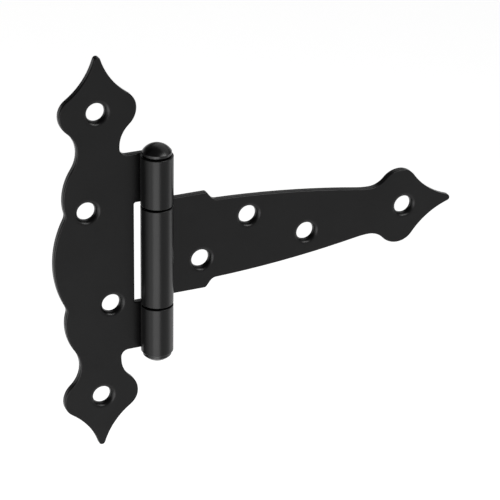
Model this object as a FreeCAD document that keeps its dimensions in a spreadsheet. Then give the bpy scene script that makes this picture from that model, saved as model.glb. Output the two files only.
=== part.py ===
import FreeCAD, Part
import math
import os

import Sketcher
from FreeCAD import Vector

# Ornamental tee hinge for a gate: a post plate, a strap and the pin that joins them.
# Millimetres. X runs along the strap, Y to the back and Z up. The origin is the middle of the
# post plate's back face, on the plate's centreline. Both plates lie flat, with their backs at Y 0.

# Driving sizes, each in its own cell of the sheet
SIZES = {
    # Sheet metal of both plates
    "sheet_thickness": 2.5,
    "front_edge_radius": 0.5,
    "back_edge_radius": 0.3,
    # Pin and the knuckles rolled round it
    "pin_diameter": 7.2,
    "pin_clearance": 0.08,
    "curl_gap": 0.3,
    "knuckle_gap": 0.7,
    "post_knuckle_length": 19.7,
    # Domed head above the upper knuckle, riveted end below the lower one
    "head_overhang": 1.9,
    "head_lip": 1.6,
    "head_dome": 3.0,
    "head_edge_radius": 0.85,
    "rivet_overhang": 1.85,
    "rivet_lip": 1.45,
    "rivet_dome": 2.6,
    "rivet_edge_radius": 0.3,
    # Slot of the post plate, beside the strap's knuckle
    "web_reach": 13.65,
    "slot_clearance": 1.35,
    "slot_corner_radius": 0.8,
    # Edge of the post plate. A reach is measured from the centreline, a rise from the form before it
    "neck_above_knuckle": 3.6,
    "neck_reach": 8.25,
    "neck_corner_radius": 2.8,
    "neck_radius": 12.1,
    "shoulder_below_neck": 18.8,
    "shoulder_reach": 13.93,
    "notch_below_shoulder": 5.4,
    "notch_depth": 0.75,
    "notch_upper_radius": 1.9,
    "notch_lower_radius": 4.1,
    "belly_reach": 18.0,
    # Finials of the post plate
    "post_lobe_above_neck": 14.7,
    "post_lobe_reach": 14.88,
    "post_lobe_lower_radius": 8.5,
    "post_lobe_upper_radius": 7.2,
    "post_tip_above_lobe": 21.3,
    "post_ogee_radius": 28.0,
    "post_tip_radius": 1.3,
    # Edge of the strap, measured from the pin's axis
    "strap_width": 40.0,
    "strap_length": 125.0,
    "flange_length": 20.8,
    "flange_corner_radius": 1.3,
    "step_depth": 3.45,
    "step_angle": 53.0,
    "step_foot_radius": 3.0,
    "taper_crown": 12.1,
    # Finial of the strap, measured back from its tip
    "waist_before_tip": 35.0,
    "waist_reach": 9.83,
    "waist_radius": 30.0,
    "strap_lobe_before_tip": 22.3,
    "strap_lobe_reach": 15.53,
    "strap_lobe_rear_radius": 8.6,
    "strap_lobe_front_radius": 7.6,
    "strap_ogee_radius": 30.5,
    "strap_tip_radius": 1.3,
    # Screw holes
    "hole_diameter": 7.1,
    "hole_rim_radius": 1.8,
    "end_hole_offset": 0.5,
    "end_hole_before_tip": 21.5,
    "middle_hole_offset": 4.65,
    "middle_hole_height": 19.8,
    "flange_hole_distance": 19.5,
    "flange_hole_drop": 7.7,
    "taper_hole_distance": 38.7,
    "taper_hole_rise": 7.4,
    "centre_hole_before_tip": 62.0,
    "centre_hole_drop": 4.0,
    "tip_hole_before_tip": 20.2,
}

EDGE_TOLERANCE = 1e-4


class Size:
    """A dimension: its value, and the formula by which the sheet gives it."""

    def __init__(self, value, formula):
        self.value = value
        self.formula = formula

    def __add__(self, other):
        return Size(self.value + other.value, "(%s + %s)" % (self.formula, other.formula))

    def __sub__(self, other):
        return Size(self.value - other.value, "(%s - %s)" % (self.formula, other.formula))

    def __neg__(self):
        return Size(-self.value, "(-%s)" % self.formula)

    def half(self):
        return Size(self.value / 2, "(%s / 2)" % self.formula)


def make_sheet(document):
    """Writes every driving size to a cell of its own, under its name."""
    sheet = document.addObject("Spreadsheet::Sheet", "Sizes")
    for row, (name, number) in enumerate(SIZES.items(), start=1):
        sheet.set("A%d" % row, name)
        sheet.set("B%d" % row, str(number))
        sheet.setAlias("B%d" % row, name)
    document.recompute()
    return sheet


document = FreeCAD.newDocument("gate_hinge")
sheet = make_sheet(document)


def size(name):
    return Size(float(sheet.get(name)), "Sizes.%s" % name)


# Sizes that follow from the driving ones
thickness = size("sheet_thickness")
pin_radius = size("pin_diameter").half()
bore_radius = pin_radius + size("pin_clearance")
barrel_radius = bore_radius + thickness
barrel_x = size("web_reach") + size("slot_clearance") + barrel_radius
strap_half_width = size("strap_width").half()
knuckle_start = strap_half_width + size("knuckle_gap")
knuckle_end = knuckle_start + size("post_knuckle_length")
neck_height = knuckle_end + size("neck_above_knuckle")
post_lobe_height = neck_height + size("post_lobe_above_neck")
post_tip_height = post_lobe_height + size("post_tip_above_lobe")
shoulder_height = neck_height - size("shoulder_below_neck")
notch_height = shoulder_height - size("notch_below_shoulder")
notch_reach = size("shoulder_reach") - size("notch_depth")
strap_tip_x = barrel_x + size("strap_length")
waist_x = strap_tip_x - size("waist_before_tip")
strap_lobe_x = strap_tip_x - size("strap_lobe_before_tip")
crown_reach = strap_half_width - size("step_depth")


def touching_circle(first, first_radius, second, second_radius, radius, side):
    """Centre of a circle that touches two others from outside, on the given side of them."""
    between = second - first
    distance = between.Length
    along = between / distance
    across = Vector(-along.y, along.x, 0)
    if across.dot(side) < 0:
        across = -across
    reach = first_radius + radius
    run = (reach ** 2 - (second_radius + radius) ** 2 + distance ** 2) / (2 * distance)
    rise = math.sqrt(reach ** 2 - run ** 2)
    return first + along * run + across * rise


def between_circles(first, first_radius, second, second_radius):
    """Point where two circles touch."""
    return first + (second - first) * (first_radius / (first_radius + second_radius))


def s_bend(start, end, tangent, radius, is_first):
    """Centres and meeting point of two arcs from start to end, along tangent at both ends."""
    chord = end - start
    across = Vector(-tangent.y, tangent.x, 0)
    if across.dot(chord) < 0:
        across = -across
    both_radii = chord.Length ** 2 / (2 * across.dot(chord))
    first_radius = radius if is_first else both_radii - radius
    meeting = start + chord * (first_radius / both_radii)
    first_centre = start + across * first_radius
    second_centre = end - across * (both_radii - first_radius)
    return first_centre, meeting, second_centre


class Outline:
    """A chain of lines and arcs in a sketch, held by constraints that read the sheet. The points
    of a curve have Sketcher's numbers: 1 is its start, 2 its end and 3 its centre."""

    def __init__(self, sketch):
        self.sketch = sketch
        self.pieces = []

    def hold(self, kind, references, dimension, unit=""):
        """Adds a constraint whose value is a formula of the sheet's sizes."""
        value = math.radians(dimension.value) if unit else dimension.value
        index = self.sketch.addConstraint(Sketcher.Constraint(kind, *references, value))
        self.sketch.setExpression("Constraints[%d]" % index, dimension.formula + unit)

    def fix(self, kind, *references):
        self.sketch.addConstraint(Sketcher.Constraint(kind, *references))

    def add(self, geometry, first, last, smooth):
        index = self.sketch.addGeometry(geometry, False)
        if self.pieces:
            joint = "Tangent" if smooth else "Coincident"
            previous = self.pieces[-1]
            self.fix(joint, previous[0], previous[2], index, first)
        self.pieces.append((index, first, last))
        return index

    def line(self, start, end, direction=None, smooth=False):
        index = self.add(Part.LineSegment(start, end), 1, 2, smooth)
        if direction:
            self.fix(direction, index)
        return index

    def arc(self, centre, start, end, smooth=True, long_way=False):
        """An arc from start to end, by the short way round unless long_way is set."""
        from_start = start - centre
        from_end = end - centre
        turns_left = (from_start.cross(from_end).z > 0) != long_way
        first, last = (1, 2) if turns_left else (2, 1)
        if not turns_left:
            from_start, from_end = from_end, from_start
        begin = math.atan2(from_start.y, from_start.x)
        finish = math.atan2(from_end.y, from_end.x)
        if finish < begin:
            finish += 2 * math.pi
        circle = Part.Circle(centre, Vector(0, 0, 1), from_start.Length)
        return self.add(Part.ArcOfCircle(circle, begin, finish), first, last, smooth)

    def radius(self, dimension):
        self.hold("Radius", (self.pieces[-1][0],), dimension)

    def place(self, x=None, y=None, point=None):
        """Holds a point, or the chain's last end, at x and y."""
        index, number = point or (self.pieces[-1][0], self.pieces[-1][2])
        if x:
            self.hold("DistanceX", (-1, 1, index, number), x)
        if y:
            self.hold("DistanceY", (-1, 1, index, number), y)

    def on_axis(self, index, number, coordinate):
        """Holds a point at 0 in x or y."""
        axis = -2 if coordinate == "x" else -1
        self.fix("PointOnObject", index, number, axis)

    def level(self, direction, index, number):
        """Holds an arc's centre level with one of its ends, so that the arc starts square to it."""
        self.fix(direction, index, 3, index, number)

    def sweep(self, start, end, tangent, dimension, is_first, smooth_start=False):
        """Two arcs in an S from start to the place of end; dimension is one arc's radius."""
        target = Vector(end[0].value, end[1].value, 0)
        bend = s_bend(start, target, tangent, dimension.value, is_first)
        first_centre, meeting, second_centre = bend
        direction = "Horizontal" if tangent.x == 0 else "Vertical"
        first = self.arc(first_centre, start, meeting, smooth=smooth_start)
        if is_first:
            self.radius(dimension)
        self.level(direction, first, self.pieces[-1][1])
        second = self.arc(second_centre, meeting, target)
        if not is_first:
            self.radius(dimension)
        self.level(direction, second, self.pieces[-1][2])
        self.place(*end)
        return target

    def close(self):
        first = self.pieces[0]
        last = self.pieces[-1]
        self.fix("Coincident", last[0], last[2], first[0], first[1])


def make_body(label):
    body = document.addObject("PartDesign::Body", label)
    body.Label = label
    body.Placement = FreeCAD.Placement()
    return body


def origin_plane(body, role):
    return next(plane for plane in body.Origin.OriginFeatures if plane.Role == role)


def add_sketch(body, name, role, height=None):
    """A sketch on one of the body's own planes, lifted by height where one is given."""
    sketch = body.newObject("Sketcher::SketchObject", name)
    sketch.AttachmentSupport = [(origin_plane(body, role), "")]
    sketch.MapMode = "FlatFace"
    if height:
        sketch.AttachmentOffset = FreeCAD.Placement(Vector(0, 0, height.value), FreeCAD.Rotation())
        sketch.setExpression("AttachmentOffset.Base.z", height.formula)
    return sketch


def add_pad(body, name, sketch, length):
    pad = body.newObject("PartDesign::Pad", name)
    pad.Profile = sketch
    pad.setExpression("Length", length.formula)
    document.recompute()
    return pad


def add_mirror(body, name, features):
    """Repeats features below the level of the strap's centreline."""
    mirror = body.newObject("PartDesign::Mirrored", name)
    mirror.Originals = features
    mirror.MirrorPlane = (origin_plane(body, "XY_Plane"), [""])
    body.Tip = mirror
    document.recompute()
    return mirror


def add_fillet(body, name, base, wanted, radius):
    """Rounds the edges of base for which wanted is true."""
    names = [
        "Edge%d" % number
        for number, edge in enumerate(base.Shape.Edges, start=1)
        if wanted(edge)
    ]
    fillet = body.newObject("PartDesign::Fillet", name)
    fillet.Base = (base, names)
    fillet.setExpression("Radius", radius.formula)
    document.recompute()
    return fillet


def add_holes(body, name, places):
    """Screw holes through the sheet, each at an x and z."""
    sketch = add_sketch(body, name + "_sketch", "XZ_Plane")
    outline = Outline(sketch)
    radius = size("hole_diameter").half()
    for x, z in places:
        circle = Part.Circle(Vector(x.value, z.value if z else 0, 0), Vector(0, 0, 1), radius.value)
        index = sketch.addGeometry(circle, False)
        outline.hold("Radius", (index,), radius)
        outline.place(x, z, point=(index, 3))
        if not z:
            outline.on_axis(index, 3, "y")
    before = body.Tip.Shape.Volume
    pocket = body.newObject("PartDesign::Pocket", name)
    pocket.Profile = sketch
    pocket.setExpression("Length", thickness.formula)
    pocket.Reversed = True
    document.recompute()
    cut = before - pocket.Shape.Volume
    drilled = len(places) * math.pi * radius.value ** 2 * thickness.value
    if abs(cut - drilled) > 0.01 * drilled:
        raise ValueError("the holes of %s don't go through the sheet" % body.Label)
    return pocket


def lies_at(edge, y):
    """True for an edge that lies wholly in the plane at y."""
    box = edge.BoundBox
    return abs(box.YMin - y) < EDGE_TOLERANCE and abs(box.YMax - y) < EDGE_TOLERANCE


def is_root(edge):
    """True for the line where the flat sheet passes into the curl."""
    box = edge.BoundBox
    at_barrel = abs(box.XMin - barrel_x.value) < EDGE_TOLERANCE
    return at_barrel and abs(box.XMax - barrel_x.value) < EDGE_TOLERANCE


def is_front_edge(edge):
    return lies_at(edge, -thickness.value) and not is_root(edge)


def is_knuckle_rim(edge):
    """True for the outer edge of a knuckle's end."""
    is_arc = isinstance(edge.Curve, Part.Circle) and edge.BoundBox.ZLength < EDGE_TOLERANCE
    return is_arc and abs(edge.Curve.Radius - barrel_radius.value) < EDGE_TOLERANCE


def is_back_edge(edge):
    """True for an edge of the back face, and for the knuckle rims, which carry on from it."""
    return lies_at(edge, 0) and not is_root(edge) or is_knuckle_rim(edge)


def is_hole_rim(edge):
    """True for a full circle in the front face."""
    is_circle = isinstance(edge.Curve, Part.Circle) and edge.isClosed()
    return is_circle and lies_at(edge, -thickness.value)


def draw_curl(body, name, height, leaf_side):
    """Section of a knuckle: the sheet leaves its flat behind the pin, goes round it by the far
    side and ends just short of its own leaf. leaf_side is the leaf's direction along X."""
    sketch = add_sketch(body, name, "XY_Plane", height)
    outline = Outline(sketch)
    centre = Vector(barrel_x.value, -barrel_radius.value, 0)
    end_y = thickness + size("curl_gap")
    end_rise = barrel_radius.value - end_y.value
    end_run = math.sqrt(barrel_radius.value ** 2 - end_rise ** 2)
    to_end = Vector(leaf_side * end_run, end_rise, 0)
    outer_start = Vector(barrel_x.value, 0, 0)
    inner_start = Vector(barrel_x.value, -thickness.value, 0)
    outer_end = centre + to_end
    inner_end = centre + to_end * (bore_radius.value / barrel_radius.value)

    outer = outline.arc(centre, outer_start, outer_end, long_way=True)
    outer_first = outline.pieces[-1][1]
    outline.radius(barrel_radius)
    outline.place(barrel_x, -barrel_radius, point=(outer, 3))
    outline.level("Vertical", outer, outer_first)
    outline.place(y=-end_y)
    lip = outline.line(outer_end, inner_end)
    outline.fix("PointOnObject", outer, 3, lip)
    inner = outline.arc(centre, inner_end, inner_start, smooth=False, long_way=True)
    outline.radius(bore_radius)
    outline.fix("Coincident", inner, 3, outer, 3)
    outline.level("Vertical", inner, outline.pieces[-1][2])
    outline.line(inner_start, outer_start)
    outline.close()
    return sketch


UP = Vector(0, 1, 0)
ALONG = Vector(1, 0, 0)


def draw_finial(outline, start, end, lobe_radius, ogee_radius, tip_radius, tip_height):
    """A spade point on the post plate, from one lobe over the tip to the other."""
    target = Vector(end[0].value, end[1].value, 0)
    side = Vector(math.copysign(1, start.x), 0, 0)
    near_lobe = start - side * lobe_radius.value
    far_lobe = target + side * lobe_radius.value
    tip = Vector(0, tip_height.value - tip_radius.value, 0)
    sizes = (lobe_radius.value, tip, tip_radius.value, ogee_radius.value)
    near_ogee = touching_circle(near_lobe, *sizes, side)
    far_ogee = touching_circle(far_lobe, *sizes, -side)
    stops = [
        between_circles(near_lobe, lobe_radius.value, near_ogee, ogee_radius.value),
        between_circles(tip, tip_radius.value, near_ogee, ogee_radius.value),
        between_circles(tip, tip_radius.value, far_ogee, ogee_radius.value),
        between_circles(far_lobe, lobe_radius.value, far_ogee, ogee_radius.value),
    ]
    lobe = outline.arc(near_lobe, start, stops[0], smooth=False)
    outline.radius(lobe_radius)
    outline.level("Horizontal", lobe, outline.pieces[-1][1])
    outline.arc(near_ogee, stops[0], stops[1])
    outline.radius(ogee_radius)
    point = outline.arc(tip, stops[1], stops[2])
    outline.radius(tip_radius)
    outline.on_axis(point, 3, "x")
    outline.place(y=tip_height - tip_radius, point=(point, 3))
    outline.arc(far_ogee, stops[2], stops[3])
    outline.radius(ogee_radius)
    lobe = outline.arc(far_lobe, stops[3], target)
    outline.radius(lobe_radius)
    outline.level("Horizontal", lobe, outline.pieces[-1][2])
    outline.place(*end)
    return target


def draw_post_half(sketch):
    """Upper half of the post plate's flat sheet, from the belly over the finial to the slot."""
    outline = Outline(sketch)
    lobe_lower_radius = size("post_lobe_lower_radius")
    belly = Vector(-size("belly_reach").value, 0, 0)
    notch = (-notch_reach, notch_height)
    shoulder = (-size("shoulder_reach"), shoulder_height)
    neck = (-size("neck_reach"), neck_height)
    lobe = (-size("post_lobe_reach"), post_lobe_height)
    far_lobe = (size("post_lobe_reach"), post_lobe_height)
    far_neck = (size("neck_reach"), neck_height)

    at = outline.sweep(belly, notch, UP, size("notch_lower_radius"), False)
    at = outline.sweep(at, shoulder, UP, size("notch_upper_radius"), True)
    at = outline.sweep(at, neck, UP, size("neck_radius"), False)
    at = outline.sweep(at, lobe, UP, lobe_lower_radius, False)
    at = draw_finial(outline, at, far_lobe, size("post_lobe_upper_radius"),
                     size("post_ogee_radius"), size("post_tip_radius"), post_tip_height)
    at = outline.sweep(at, far_neck, UP, lobe_lower_radius, True)

    # The neck turns square into the flange, which runs out to the upper knuckle
    corner = size("neck_corner_radius")
    corner_centre = Vector(at.x + corner.value, knuckle_end.value + corner.value, 0)
    corner_start = Vector(at.x, corner_centre.y, 0)
    corner_end = Vector(corner_centre.x, knuckle_end.value, 0)
    outline.line(at, corner_start, "Vertical")
    outline.arc(corner_centre, corner_start, corner_end)
    outline.radius(corner)
    flange_end = Vector(barrel_x.value, knuckle_end.value, 0)
    outline.line(corner_end, flange_end, "Horizontal", smooth=True)
    outline.place(barrel_x, knuckle_end)
    root_end = Vector(barrel_x.value, knuckle_start.value, 0)
    outline.line(flange_end, root_end, "Vertical")
    outline.place(y=knuckle_start)

    # Slot beside the strap's knuckle
    web = size("web_reach")
    slot_corner = size("slot_corner_radius")
    slot_centre = Vector(web.value + slot_corner.value, knuckle_start.value - slot_corner.value, 0)
    slot_top = Vector(slot_centre.x, knuckle_start.value, 0)
    slot_side = Vector(web.value, slot_centre.y, 0)
    middle = Vector(web.value, 0, 0)
    outline.line(root_end, slot_top, "Horizontal")
    outline.arc(slot_centre, slot_top, slot_side)
    outline.radius(slot_corner)
    outline.line(slot_side, middle, "Vertical", smooth=True)
    outline.place(x=web)
    outline.on_axis(outline.pieces[-1][0], 2, "y")
    outline.line(middle, belly, "Horizontal")
    outline.place(x=-size("belly_reach"))
    outline.close()


def make_post_plate():
    body = make_body("post_plate")
    sketch = add_sketch(body, "post_outline", "XZ_Plane")
    draw_post_half(sketch)
    flat = add_pad(body, "post_flat", sketch, thickness)
    curl_sketch = draw_curl(body, "post_curl", knuckle_start, -1)
    curl = add_pad(body, "post_knuckle", curl_sketch, size("post_knuckle_length"))
    whole = add_mirror(body, "post_lower_half", [flat, curl])
    front = add_fillet(body, "post_front_edges", whole, is_front_edge, size("front_edge_radius"))
    add_fillet(body, "post_back_edges", front, is_back_edge, size("back_edge_radius"))
    end_x = size("end_hole_offset")
    end_z = post_tip_height - size("end_hole_before_tip")
    middle_x = size("middle_hole_offset")
    middle_z = size("middle_hole_height")
    places = [(-end_x, end_z), (-middle_x, middle_z), (middle_x, -middle_z), (end_x, -end_z)]
    holes = add_holes(body, "post_holes", places)
    add_fillet(body, "post_hole_rims", holes, is_hole_rim, size("hole_rim_radius"))
    return body


def draw_step(outline, start, long_centre, long_radius):
    """The flange's corner, the slope down from it and the foot on the long taper."""
    corner = size("flange_corner_radius")
    foot = size("step_foot_radius")
    angle = size("step_angle")
    slope = Vector(math.cos(math.radians(angle.value)), -math.sin(math.radians(angle.value)), 0)
    outward = Vector(-slope.y, slope.x, 0)
    corner_x = barrel_x + size("flange_length")
    corner_centre = Vector(corner_x.value, strap_half_width.value - corner.value, 0)
    corner_start = Vector(corner_x.value, strap_half_width.value, 0)
    slope_start = corner_centre + outward * corner.value
    # The foot's circle touches the slope and the taper's circle from outside
    from_long = slope_start + outward * foot.value - long_centre
    reach = long_radius + foot.value
    along = from_long.dot(slope)
    run = -along - math.sqrt(along ** 2 - from_long.Length ** 2 + reach ** 2)
    if run < 0:
        run = -along + math.sqrt(along ** 2 - from_long.Length ** 2 + reach ** 2)
    foot_centre = slope_start + outward * foot.value + slope * run
    slope_end = foot_centre - outward * foot.value
    foot_end = between_circles(long_centre, long_radius, foot_centre, foot.value)

    outline.line(start, corner_start, "Horizontal")
    outline.arc(corner_centre, corner_start, slope_start)
    outline.radius(corner)
    outline.place(x=corner_x, point=(outline.pieces[-1][0], 3))
    incline = outline.line(slope_start, slope_end, smooth=True)
    outline.hold("Angle", (incline, -1), angle, " * 1 deg")
    outline.arc(foot_centre, slope_end, foot_end)
    outline.radius(foot)
    return foot_end


def draw_strap_half(sketch):
    """Upper half of the strap's flat sheet, from the knuckle to the tip."""
    outline = Outline(sketch)
    root = Vector(barrel_x.value, 0, 0)
    top = Vector(barrel_x.value, strap_half_width.value, 0)
    crown = Vector(barrel_x.value + size("taper_crown").value, crown_reach.value, 0)
    waist = Vector(waist_x.value, size("waist_reach").value, 0)
    waist_radius = size("waist_radius")
    long_centre, meeting, waist_centre = s_bend(crown, waist, ALONG, waist_radius.value, False)
    long_radius = (crown - long_centre).Length

    outline.line(root, top, "Vertical")
    outline.place(y=strap_half_width)
    foot_end = draw_step(outline, top, long_centre, long_radius)
    # The taper is one long arc, level at its crown under the flange
    taper = outline.arc(long_centre, foot_end, meeting)
    mark = sketch.addGeometry(Part.Point(crown), True)
    outline.place(barrel_x + size("taper_crown"), crown_reach, point=(mark, 1))
    outline.fix("PointOnObject", mark, 1, taper)
    outline.fix("Vertical", mark, 1, taper, 3)
    outline.arc(waist_centre, meeting, waist)
    outline.radius(waist_radius)
    outline.level("Vertical", outline.pieces[-1][0], outline.pieces[-1][2])
    outline.place(waist_x, size("waist_reach"))

    # Finial
    lobe_place = (strap_lobe_x, size("strap_lobe_reach"))
    at = outline.sweep(waist, lobe_place, ALONG, size("strap_lobe_rear_radius"), False)
    lobe_radius = size("strap_lobe_front_radius")
    ogee_radius = size("strap_ogee_radius")
    tip_radius = size("strap_tip_radius")
    lobe_centre = at - UP * lobe_radius.value
    tip_centre = Vector(strap_tip_x.value - tip_radius.value, 0, 0)
    ogee_centre = touching_circle(lobe_centre, lobe_radius.value, tip_centre, tip_radius.value,
                                  ogee_radius.value, UP)
    lobe_end = between_circles(lobe_centre, lobe_radius.value, ogee_centre, ogee_radius.value)
    ogee_end = between_circles(tip_centre, tip_radius.value, ogee_centre, ogee_radius.value)
    tip = Vector(strap_tip_x.value, 0, 0)
    outline.arc(lobe_centre, at, lobe_end, smooth=False)
    outline.radius(lobe_radius)
    outline.level("Vertical", outline.pieces[-1][0], outline.pieces[-1][1])
    outline.arc(ogee_centre, lobe_end, ogee_end)
    outline.radius(ogee_radius)
    point = outline.arc(tip_centre, ogee_end, tip)
    outline.radius(tip_radius)
    outline.on_axis(point, 3, "y")
    outline.on_axis(point, outline.pieces[-1][2], "y")
    outline.place(x=strap_tip_x)
    outline.line(tip, root, "Horizontal")
    outline.place(x=barrel_x)
    outline.close()


def make_strap():
    body = make_body("strap")
    sketch = add_sketch(body, "strap_outline", "XZ_Plane")
    draw_strap_half(sketch)
    flat = add_pad(body, "strap_flat", sketch, thickness)
    curl_sketch = draw_curl(body, "strap_curl", None, 1)
    curl = add_pad(body, "strap_knuckle", curl_sketch, strap_half_width)
    whole = add_mirror(body, "strap_lower_half", [flat, curl])
    front = add_fillet(body, "strap_front_edges", whole, is_front_edge, size("front_edge_radius"))
    add_fillet(body, "strap_back_edges", front, is_back_edge, size("back_edge_radius"))
    places = [
        (barrel_x + size("flange_hole_distance"), -size("flange_hole_drop")),
        (barrel_x + size("taper_hole_distance"), size("taper_hole_rise")),
        (strap_tip_x - size("centre_hole_before_tip"), -size("centre_hole_drop")),
        (strap_tip_x - size("tip_hole_before_tip"), None),
    ]
    holes = add_holes(body, "strap_holes", places)
    add_fillet(body, "strap_hole_rims", holes, is_hole_rim, size("hole_rim_radius"))
    return body


def draw_dome(outline, edge_radius, edge_height, top_height, smooth_first):
    """A dome's arc between its rim and the pin's axis."""
    rise = top_height.value - edge_height.value
    drop = (edge_radius.value ** 2 - rise ** 2) / (2 * rise)
    centre = Vector(0, edge_height.value - drop, 0)
    rim = Vector(edge_radius.value, edge_height.value, 0)
    top = Vector(0, top_height.value, 0)
    if smooth_first:
        index = outline.arc(centre, top, rim, smooth=False)
        top_number = outline.pieces[-1][1]
        outline.place(edge_radius, edge_height)
    else:
        index = outline.arc(centre, rim, top, smooth=False)
        top_number = outline.pieces[-1][2]
    outline.on_axis(index, 3, "x")
    outline.on_axis(index, top_number, "x")
    outline.place(y=top_height, point=(index, top_number))
    return top


def make_hinge_pin():
    body = make_body("hinge_pin")
    sketch = add_sketch(body, "pin_profile", "XZ_Plane")
    outline = Outline(sketch)
    head_radius = pin_radius + size("head_overhang")
    rivet_radius = pin_radius + size("rivet_overhang")
    lip_top = knuckle_end + size("head_lip")
    head_top = lip_top + size("head_dome")
    rivet_lip_end = -(knuckle_end + size("rivet_lip"))
    rivet_end = rivet_lip_end - size("rivet_dome")

    draw_dome(outline, head_radius, lip_top, head_top, True)
    corners = [
        (head_radius, knuckle_end, "Vertical"),
        (pin_radius, knuckle_end, "Horizontal"),
        (pin_radius, -knuckle_end, "Vertical"),
        (rivet_radius, -knuckle_end, "Horizontal"),
        (rivet_radius, rivet_lip_end, "Vertical"),
    ]
    at = Vector(head_radius.value, lip_top.value, 0)
    for x, z, direction in corners:
        corner = Vector(x.value, z.value, 0)
        outline.line(at, corner, direction)
        if direction == "Vertical":
            outline.place(y=z)
        else:
            outline.place(x=x)
        at = corner
    bottom = draw_dome(outline, rivet_radius, rivet_lip_end, rivet_end, False)
    outline.line(bottom, Vector(0, head_top.value, 0))
    outline.close()

    turned = body.newObject("PartDesign::Revolution", "pin_turned")
    turned.Profile = sketch
    turned.ReferenceAxis = (sketch, ["V_Axis"])
    turned.Angle = 360
    document.recompute()

    def is_seat_edge(edge, seat):
        box = edge.BoundBox
        at_seat = abs(box.ZMin - seat) < EDGE_TOLERANCE and box.ZLength < EDGE_TOLERANCE
        return at_seat and box.XMax > pin_radius.value + EDGE_TOLERANCE

    def is_head_edge(edge):
        return is_seat_edge(edge, knuckle_end.value)

    def is_rivet_edge(edge):
        return is_seat_edge(edge, -knuckle_end.value)

    head = add_fillet(body, "pin_head_edge", turned, is_head_edge, size("head_edge_radius"))
    add_fillet(body, "pin_rivet_edge", head, is_rivet_edge, size("rivet_edge_radius"))
    body.Placement.Base = Vector(barrel_x.value, -barrel_radius.value, 0)
    body.setExpression("Placement.Base.x", barrel_x.formula)
    body.setExpression("Placement.Base.y", (-barrel_radius).formula)
    document.recompute()
    return body


def check(bodies):
    """Stops if anything in the document failed, a sketch can still move or a piece isn't one
    valid solid."""
    for item in document.Objects:
        for state in ("Invalid", "Error"):
            if state in item.State:
                raise ValueError("%s is %s" % (item.Label, state.lower()))
        if item.TypeId == "Sketcher::SketchObject" and (item.solve() != 0 or item.DoF != 0):
            raise ValueError("%s isn't fully held by its constraints" % item.Label)
    for body in bodies:
        shape = body.Shape
        if shape.isNull() or not shape.isValid() or len(shape.Solids) != 1:
            raise ValueError("%s isn't one valid solid" % body.Label)


bodies = [make_post_plate(), make_strap(), make_hinge_pin()]
document.recompute()
check(bodies)
os.makedirs("parts", exist_ok=True)
for body in bodies:
    body.Shape.exportStep("parts/%s.step" % body.Label)
    box = body.Shape.BoundBox
    print("%s: %.2f x %.2f x %.2f mm, %.1f mm3" % (
        body.Label, box.XLength, box.YLength, box.ZLength, body.Shape.Volume))
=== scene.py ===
import math

import bpy
from mathutils import Matrix, Vector


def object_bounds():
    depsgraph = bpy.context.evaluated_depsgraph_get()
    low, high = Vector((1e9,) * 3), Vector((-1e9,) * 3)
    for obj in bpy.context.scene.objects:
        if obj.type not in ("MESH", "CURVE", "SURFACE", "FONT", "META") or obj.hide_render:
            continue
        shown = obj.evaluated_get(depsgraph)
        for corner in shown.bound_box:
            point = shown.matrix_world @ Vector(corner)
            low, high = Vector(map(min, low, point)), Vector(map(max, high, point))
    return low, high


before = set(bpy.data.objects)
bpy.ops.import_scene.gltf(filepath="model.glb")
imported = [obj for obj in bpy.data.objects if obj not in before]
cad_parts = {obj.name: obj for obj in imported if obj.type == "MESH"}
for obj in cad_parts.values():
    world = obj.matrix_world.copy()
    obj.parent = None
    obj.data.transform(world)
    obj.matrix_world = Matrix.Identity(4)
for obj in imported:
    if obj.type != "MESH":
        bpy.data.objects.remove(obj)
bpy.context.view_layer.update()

# One millimetre, in the scene's metres
MM = 0.001

# Where the camera stands, as fitted to the outline of both plates, and the nearest and farthest
# that it sees, in metres
CAMERA_AZIMUTH = math.radians(-24.079)
CAMERA_ELEVATION = math.radians(26.629)
CAMERA_ROLL = math.radians(1.082)
CAMERA_DISTANCE = 873.34 * MM
CAMERA_TARGET = Vector((61.75, 0.0, -8.73)) * MM
CAMERA_REACH = (0.05, 30.0)
FOCAL_PIXELS = 2285.8
PHOTO_PIXELS = 500
SENSOR_WIDTH = 36.0

# The floor lies well below the hinge, which is held by its screws in use. It turns up into a
# low wall all round, with a narrow rim along the corner. Lengths are in metres
FLOOR_DROP = 0.55
FLOOR_RADIUS = 4.0
FLOOR_SIDES = 96
FLOOR_RIM = 0.02
WALL_HEIGHT = 1.3
SMOOTH_ANGLE = math.radians(30)
PAPER_WHITE = (0.82, 0.82, 0.82, 1.0)
PAPER_ROUGHNESS = 0.9
PAPER_SPECULAR = 0.1
PAPER_GLOW = 0.86

# Soft lamps: angle from the camera round the hinge and height angle in degrees, distance,
# width and height in metres, power in watts
SOFT_LAMPS = {
    "front_softbox": (-4.5, -24.0, 0.62, 0.44, 0.34, 2.0),
    "front_fill": (-40.0, -24.0, 0.62, 0.34, 0.34, 0.47),
    "right_fill": (108.0, -22.0, 0.75, 0.40, 0.34, 0.40),
    "right_softbox": (56.0, 36.0, 0.80, 0.54, 0.32, 4.8),
    "rear_softbox": (136.0, 50.0, 1.00, 1.90, 0.90, 4.5),
}
SKY_COLOUR = (0.20, 0.20, 0.20, 1.0)
SKY_STRENGTH = 0.5

# Powder coat of each piece: where its pattern starts, in metres, the refractive index that sets
# its gloss, and its roughness where it came out smoothest and roughest
POWDER_COATS = {
    "post_plate": ((0.0, 0.0, 0.0), 1.285, 0.27, 0.33),
    "strap": ((0.31, 0.12, 0.07), 1.285, 0.27, 0.33),
    "hinge_pin": ((0.11, 0.42, 0.23), 1.36, 0.25, 0.31),
}

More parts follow.
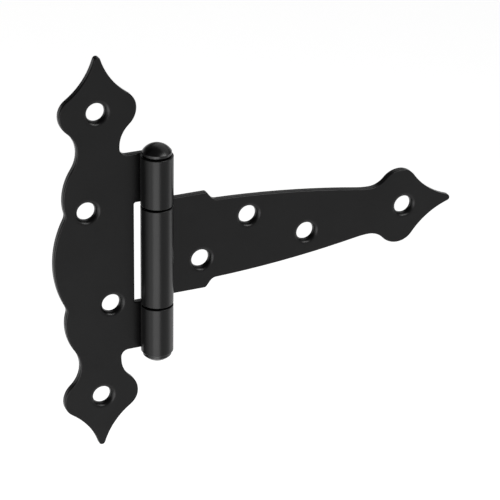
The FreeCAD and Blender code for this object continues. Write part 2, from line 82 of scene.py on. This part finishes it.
# Its colour where it is thick and where it is thin, and where in the clouds each begins
THICK_COAT_BLACK = (0.0016, 0.0016, 0.0017, 1.0)
THIN_COAT_BLACK = (0.0028, 0.0028, 0.0029, 1.0)
THICK_COAT_BELOW = 0.3
THIN_COAT_ABOVE = 0.72

# How fine the coat's patterns are, as how many of them fit in a metre
CLOUDS = 55.0
GRAIN = 2600.0
PEBBLES = 1500.0

# How much grain joins the clouds in the sheen, the span of the two together that goes from
# smoothest to roughest, and how strongly and how far the pebbles stand out
GRAIN_SHARE = 0.35
SHEEN_SPAN = (0.35, 1.0)
PEBBLE_RELIEF = 0.5
PEBBLE_HEIGHT = 0.02 * MM


def clear_selection():
    bpy.ops.object.select_all(action="DESELECT")


def direction(azimuth, elevation):
    """Unit vector from the hinge towards a viewer at that azimuth and height angle."""
    return Vector((
        math.sin(azimuth) * math.cos(elevation),
        -math.cos(azimuth) * math.cos(elevation),
        math.sin(elevation),
    ))


def set_up_camera():
    """The photograph's own viewpoint, with the horizon turned by the fitted roll."""
    back = direction(CAMERA_AZIMUTH, CAMERA_ELEVATION)
    bpy.ops.object.camera_add(location=CAMERA_TARGET + back * CAMERA_DISTANCE)
    camera = bpy.context.object
    camera.name = "photo_camera"
    upright = (-back).to_track_quat("-Z", "Y").to_matrix()
    turned = upright @ Matrix.Rotation(CAMERA_ROLL, 3, "Z")
    camera.rotation_euler = turned.to_euler()
    camera.data.sensor_width = SENSOR_WIDTH
    camera.data.lens = SENSOR_WIDTH * FOCAL_PIXELS / PHOTO_PIXELS
    camera.data.clip_start, camera.data.clip_end = CAMERA_REACH
    bpy.context.scene.camera = camera


def soften_light(name, around, height, distance, width, tall, power):
    """A large lamp behind a diffuser, turned to the middle of the hinge."""
    towards = direction(CAMERA_AZIMUTH + math.radians(around), math.radians(height))
    bpy.ops.object.light_add(type="AREA", location=CAMERA_TARGET + towards * distance)
    lamp = bpy.context.object
    lamp.name = name
    lamp.rotation_euler = (-towards).to_track_quat("-Z", "Y").to_euler()
    lamp.data.shape = "RECTANGLE"
    lamp.data.size = width
    lamp.data.size_y = tall
    lamp.data.energy = power
    lamp.visible_camera = False


def set_up_sky():
    world = bpy.data.worlds.new("dim_studio")
    bpy.context.scene.world = world
    world.use_nodes = True
    background = world.node_tree.nodes["Background"]
    background.inputs["Color"].default_value = SKY_COLOUR
    background.inputs["Strength"].default_value = SKY_STRENGTH


def pale_paper():
    """Matt white paper, which glows to the lens and in reflections so that it reads as white."""
    material = bpy.data.materials.new("pale_paper")
    material.use_nodes = True
    nodes = material.node_tree.nodes
    links = material.node_tree.links
    shader = nodes["Principled BSDF"]
    shader.inputs["Base Color"].default_value = PAPER_WHITE
    shader.inputs["Roughness"].default_value = PAPER_ROUGHNESS
    shader.inputs["Specular IOR Level"].default_value = PAPER_SPECULAR
    rays = nodes.new("ShaderNodeLightPath")
    seen = nodes.new("ShaderNodeMath")
    seen.operation = "MAXIMUM"
    links.new(rays.outputs["Is Camera Ray"], seen.inputs[0])
    links.new(rays.outputs["Is Glossy Ray"], seen.inputs[1])
    shown = nodes.new("ShaderNodeMath")
    shown.operation = "MAXIMUM"
    links.new(seen.outputs[0], shown.inputs[0])
    links.new(rays.outputs["Is Transmission Ray"], shown.inputs[1])
    glow = nodes.new("ShaderNodeMath")
    glow.operation = "MULTIPLY"
    links.new(shown.outputs[0], glow.inputs[0])
    glow.inputs[1].default_value = PAPER_GLOW
    shader.inputs["Emission Color"].default_value = (1.0, 1.0, 1.0, 1.0)
    links.new(glow.outputs[0], shader.inputs["Emission Strength"])
    return material


def lay_floor():
    """A round paper floor that turns up into a low wall all round."""
    clear_selection()
    low_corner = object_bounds()[0]
    bpy.ops.mesh.primitive_circle_add(
        vertices=FLOOR_SIDES, radius=FLOOR_RADIUS, fill_type="NGON",
        location=(0.0, 0.0, low_corner.z - FLOOR_DROP))
    floor = bpy.context.object
    floor.name = "paper_floor"
    bpy.ops.object.mode_set(mode="EDIT")
    bpy.ops.mesh.select_all(action="SELECT")
    bpy.ops.mesh.inset(thickness=FLOOR_RIM, depth=0.0)
    bpy.ops.mesh.select_all(action="DESELECT")
    bpy.ops.object.mode_set(mode="OBJECT")
    for vertex in floor.data.vertices:
        vertex.select = math.hypot(vertex.co.x, vertex.co.y) > FLOOR_RADIUS - MM
    for edge in floor.data.edges:
        edge.select = all(floor.data.vertices[i].select for i in edge.vertices)
    bpy.ops.object.mode_set(mode="EDIT")
    bpy.ops.mesh.select_mode(type="EDGE")
    bpy.ops.mesh.extrude_region_move(
        TRANSFORM_OT_translate={"value": (0.0, 0.0, WALL_HEIGHT)})
    bpy.ops.object.mode_set(mode="OBJECT")
    bpy.ops.object.shade_smooth_by_angle(angle=SMOOTH_ANGLE)
    floor.data.materials.append(pale_paper())
    clear_selection()


def satin_black(name, start, gloss, smoothest, roughest):
    """Satin black powder coat on steel: a fine leathery texture that catches the light, and
    a sheen that wanders a little from place to place."""
    material = bpy.data.materials.new(name)
    material.use_nodes = True
    nodes = material.node_tree.nodes
    links = material.node_tree.links
    shader = nodes["Principled BSDF"]
    shader.inputs["IOR"].default_value = gloss
    place = nodes.new("ShaderNodeTexCoord")
    shift = nodes.new("ShaderNodeMapping")
    shift.inputs["Location"].default_value = start
    links.new(place.outputs["Object"], shift.inputs["Vector"])

    # Colour: near black, a touch greyer where the coat is thin
    clouds = nodes.new("ShaderNodeTexNoise")
    clouds.inputs["Scale"].default_value = CLOUDS
    clouds.inputs["Detail"].default_value = 3.0
    links.new(shift.outputs["Vector"], clouds.inputs["Vector"])
    colour = nodes.new("ShaderNodeValToRGB")
    thick, thin = colour.color_ramp.elements
    thick.position, thick.color = THICK_COAT_BELOW, THICK_COAT_BLACK
    thin.position, thin.color = THIN_COAT_ABOVE, THIN_COAT_BLACK
    links.new(clouds.outputs["Fac"], colour.inputs["Fac"])
    links.new(colour.outputs["Color"], shader.inputs["Base Color"])

    # Sheen: slow changes over centimetres and a fine grain over tenths of a millimetre
    grain = nodes.new("ShaderNodeTexNoise")
    grain.inputs["Scale"].default_value = GRAIN
    grain.inputs["Detail"].default_value = 2.0
    links.new(shift.outputs["Vector"], grain.inputs["Vector"])
    both = nodes.new("ShaderNodeMath")
    both.operation = "MULTIPLY_ADD"
    both.inputs[1].default_value = GRAIN_SHARE
    links.new(grain.outputs["Fac"], both.inputs[0])
    links.new(clouds.outputs["Fac"], both.inputs[2])
    sheen = nodes.new("ShaderNodeMapRange")
    sheen.inputs["From Min"].default_value = SHEEN_SPAN[0]
    sheen.inputs["From Max"].default_value = SHEEN_SPAN[1]
    sheen.inputs["To Min"].default_value = smoothest
    sheen.inputs["To Max"].default_value = roughest
    links.new(both.outputs[0], sheen.inputs["Value"])
    links.new(sheen.outputs["Result"], shader.inputs["Roughness"])

    # Texture: the soft pebbling of baked powder, about two thirds of a millimetre across
    pebbles = nodes.new("ShaderNodeTexNoise")
    pebbles.inputs["Scale"].default_value = PEBBLES
    pebbles.inputs["Detail"].default_value = 1.0
    links.new(shift.outputs["Vector"], pebbles.inputs["Vector"])
    relief = nodes.new("ShaderNodeBump")
    relief.inputs["Strength"].default_value = PEBBLE_RELIEF
    relief.inputs["Distance"].default_value = PEBBLE_HEIGHT
    links.new(pebbles.outputs["Fac"], relief.inputs["Height"])
    links.new(relief.outputs["Normal"], shader.inputs["Normal"])
    return material


def coat(node, material):
    """Gives a CAD node its finish, in each of its slots."""
    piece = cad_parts[node]
    if not piece.material_slots:
        piece.data.materials.append(material)
    for slot in piece.material_slots:
        slot.material = material


for node_name, finish in POWDER_COATS.items():
    coat(node_name, satin_black(node_name + "_powder_coat", *finish))

lay_floor()
set_up_sky()
for lamp_name, settings in SOFT_LAMPS.items():
    soften_light(lamp_name, *settings)
set_up_camera()
bpy.context.scene.view_settings.view_transform = "Standard"
